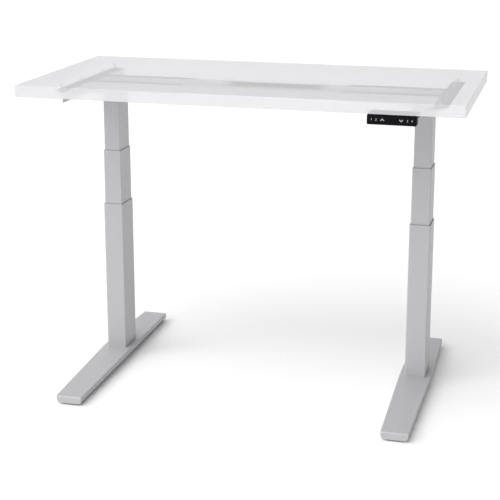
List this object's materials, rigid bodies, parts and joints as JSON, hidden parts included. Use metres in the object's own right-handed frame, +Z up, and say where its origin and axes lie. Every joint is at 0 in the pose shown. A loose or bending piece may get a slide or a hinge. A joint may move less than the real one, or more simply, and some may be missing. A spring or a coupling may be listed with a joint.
{
  "type": "height adjustable standing desk",
  "caption": "Electric sit-stand desk: thick pale top on a grey steel frame, telescopic rectangular columns, low feet and a slim keypad under the front edge.",
  "frame": {"origin": "on the floor, at the middle of the feet's footprint", "axes": "+X to the right of a person sitting at the desk, +Y to the back, +Z up"},
  "size_m": [1.22, 0.743, 0.898],
  "materials": {
    "silver_paint": "satin silver-grey powder coat",
    "desktop_white": "smooth, satin, drawn partly see-through",
    "black_plastic": "fine moulded texture",
    "key_black": "satin",
    "display_black": "gloss",
    "dark_steel": "black oxide",
    "screw_steel": "turned, oiled",
    "zinc": "zinc plated",
    "motor_metal": "satin",
    "glide_plastic": "smooth acetal",
    "nut_plastic": "smooth acetal",
    "board_green": "solder mask",
    "foot_rubber": "matte"
  },
  "bodies": {
    "base": {"left_foot": "silver_paint", "right_foot": "silver_paint", "foot_plates": "dark_steel", "foot_bolts": "zinc", "left_outer_tube": "silver_paint", "right_outer_tube": "silver_paint", "outer_tube_glides": "glide_plastic", "push_tubes": "screw_steel", "push_tube_nuts": "nut_plastic"},
    "top": {"left_inner_tube": "silver_paint", "right_inner_tube": "silver_paint", "inner_tube_glides": "glide_plastic", "bearing_blocks": "dark_steel", "left_gearbox": "motor_metal", "right_gearbox": "motor_metal", "left_motor": "motor_metal", "right_motor": "motor_metal", "end_plates": "silver_paint", "left_side_bracket": "silver_paint", "right_side_bracket": "silver_paint", "left_front_rail": "silver_paint", "left_rear_rail": "silver_paint", "right_front_rail": "silver_paint", "right_rear_rail": "silver_paint", "front_center_rail": "silver_paint", "rear_center_rail": "silver_paint", "frame_bolts": "zinc", "bracket_bolts": "zinc", "desktop": "desktop_white", "top_screws": "zinc", "control_box": "black_plastic", "control_box_lid": "black_plastic", "control_box_screws": "zinc", "handset_body": "black_plastic", "handset_face": "black_plastic", "display_window": "display_black", "handset_board": "board_green", "handset_screws": "zinc"},
    "left_middle": {"left_middle_tube": "silver_paint", "left_middle_glides": "glide_plastic", "left_screw_carrier": "screw_steel", "left_carrier_nut": "nut_plastic"},
    "left_lower_screw": {"left_hollow_screw": "screw_steel"},
    "left_upper_screw": {"left_drive_screw": "screw_steel"},
    "right_middle": {"right_middle_tube": "silver_paint", "right_middle_glides": "glide_plastic", "right_screw_carrier": "screw_steel", "right_carrier_nut": "nut_plastic"},
    "right_lower_screw": {"right_hollow_screw": "screw_steel"},
    "right_upper_screw": {"right_drive_screw": "screw_steel"},
    "left_front_glide": {"left_front_leveller": "foot_rubber"},
    "left_rear_glide": {"left_rear_leveller": "foot_rubber"},
    "right_front_glide": {"right_front_leveller": "foot_rubber"},
    "right_rear_glide": {"right_rear_leveller": "foot_rubber"},
    "key_1": {"key_1": "key_black"},
    "key_2": {"key_2": "key_black"},
    "key_up": {"key_up": "key_black"},
    "key_down": {"key_down": "key_black"},
    "key_3": {"key_3": "key_black"},
    "key_4": {"key_4": "key_black"}
  },
  "joints": [
    {"name": "lift", "type": "slide", "parent": "base", "child": "top", "axis": [0, 0, 1], "range_m": [-0.304, 0.346]},
    {"name": "left_middle_slide", "type": "slide", "parent": "base", "child": "left_middle", "axis": [0, 0, 1], "range_m": [-0.152, 0.173]},
    {"name": "left_lower_screw_turn", "type": "hinge", "parent": "left_middle", "child": "left_lower_screw", "pos_m": [-0.4625, 0.0555, 0.5], "axis": [0, 0, 1], "range_deg": [-6841, 7786]},
    {"name": "left_upper_screw_turn", "type": "hinge", "parent": "top", "child": "left_upper_screw", "pos_m": [-0.4625, 0.0555, 0.5], "axis": [0, 0, 1], "range_deg": [-6841, 7786]},
    {"name": "right_middle_slide", "type": "slide", "parent": "base", "child": "right_middle", "axis": [0, 0, 1], "range_m": [-0.152, 0.173]},
    {"name": "right_lower_screw_turn", "type": "hinge", "parent": "right_middle", "child": "right_lower_screw", "pos_m": [0.4625, 0.0555, 0.5], "axis": [0, 0, 1], "range_deg": [-6841, 7786]},
    {"name": "right_upper_screw_turn", "type": "hinge", "parent": "top", "child": "right_upper_screw", "pos_m": [0.4625, 0.0555, 0.5], "axis": [0, 0, 1], "range_deg": [-6841, 7786]},
    {"name": "left_front_level", "type": "slide", "parent": "base", "child": "left_front_glide", "axis": [0, 0, 1], "range_m": [-0.01, 0]},
    {"name": "left_rear_level", "type": "slide", "parent": "base", "child": "left_rear_glide", "axis": [0, 0, 1], "range_m": [-0.01, 0]},
    {"name": "right_front_level", "type": "slide", "parent": "base", "child": "right_front_glide", "axis": [0, 0, 1], "range_m": [-0.01, 0]},
    {"name": "right_rear_level", "type": "slide", "parent": "base", "child": "right_rear_glide", "axis": [0, 0, 1], "range_m": [-0.01, 0]},
    {"name": "key_1_press", "type": "slide", "parent": "top", "child": "key_1", "axis": [0, 1, 0], "range_m": [0, 0.0008], "stiffness_N_per_m": 600},
    {"name": "key_2_press", "type": "slide", "parent": "top", "child": "key_2", "axis": [0, 1, 0], "range_m": [0, 0.0008], "stiffness_N_per_m": 600},
    {"name": "key_up_press", "type": "slide", "parent": "top", "child": "key_up", "axis": [0, 1, 0], "range_m": [0, 0.0008], "stiffness_N_per_m": 600},
    {"name": "key_down_press", "type": "slide", "parent": "top", "child": "key_down", "axis": [0, 1, 0], "range_m": [0, 0.0008], "stiffness_N_per_m": 600},
    {"name": "key_3_press", "type": "slide", "parent": "top", "child": "key_3", "axis": [0, 1, 0], "range_m": [0, 0.0008], "stiffness_N_per_m": 600},
    {"name": "key_4_press", "type": "slide", "parent": "top", "child": "key_4", "axis": [0, 1, 0], "range_m": [0, 0.0008], "stiffness_N_per_m": 600}
  ],
  "couplings": [
    {"joint": "left_middle_slide", "follows": "lift", "ratio": 0.5},
    {"joint": "left_lower_screw_turn", "follows": "lift", "rad_per_m": 392.7},
    {"joint": "left_upper_screw_turn", "follows": "lift", "rad_per_m": 392.7},
    {"joint": "right_middle_slide", "follows": "lift", "ratio": 0.5},
    {"joint": "right_lower_screw_turn", "follows": "lift", "rad_per_m": 392.7},
    {"joint": "right_upper_screw_turn", "follows": "lift", "rad_per_m": 392.7}
  ]
}
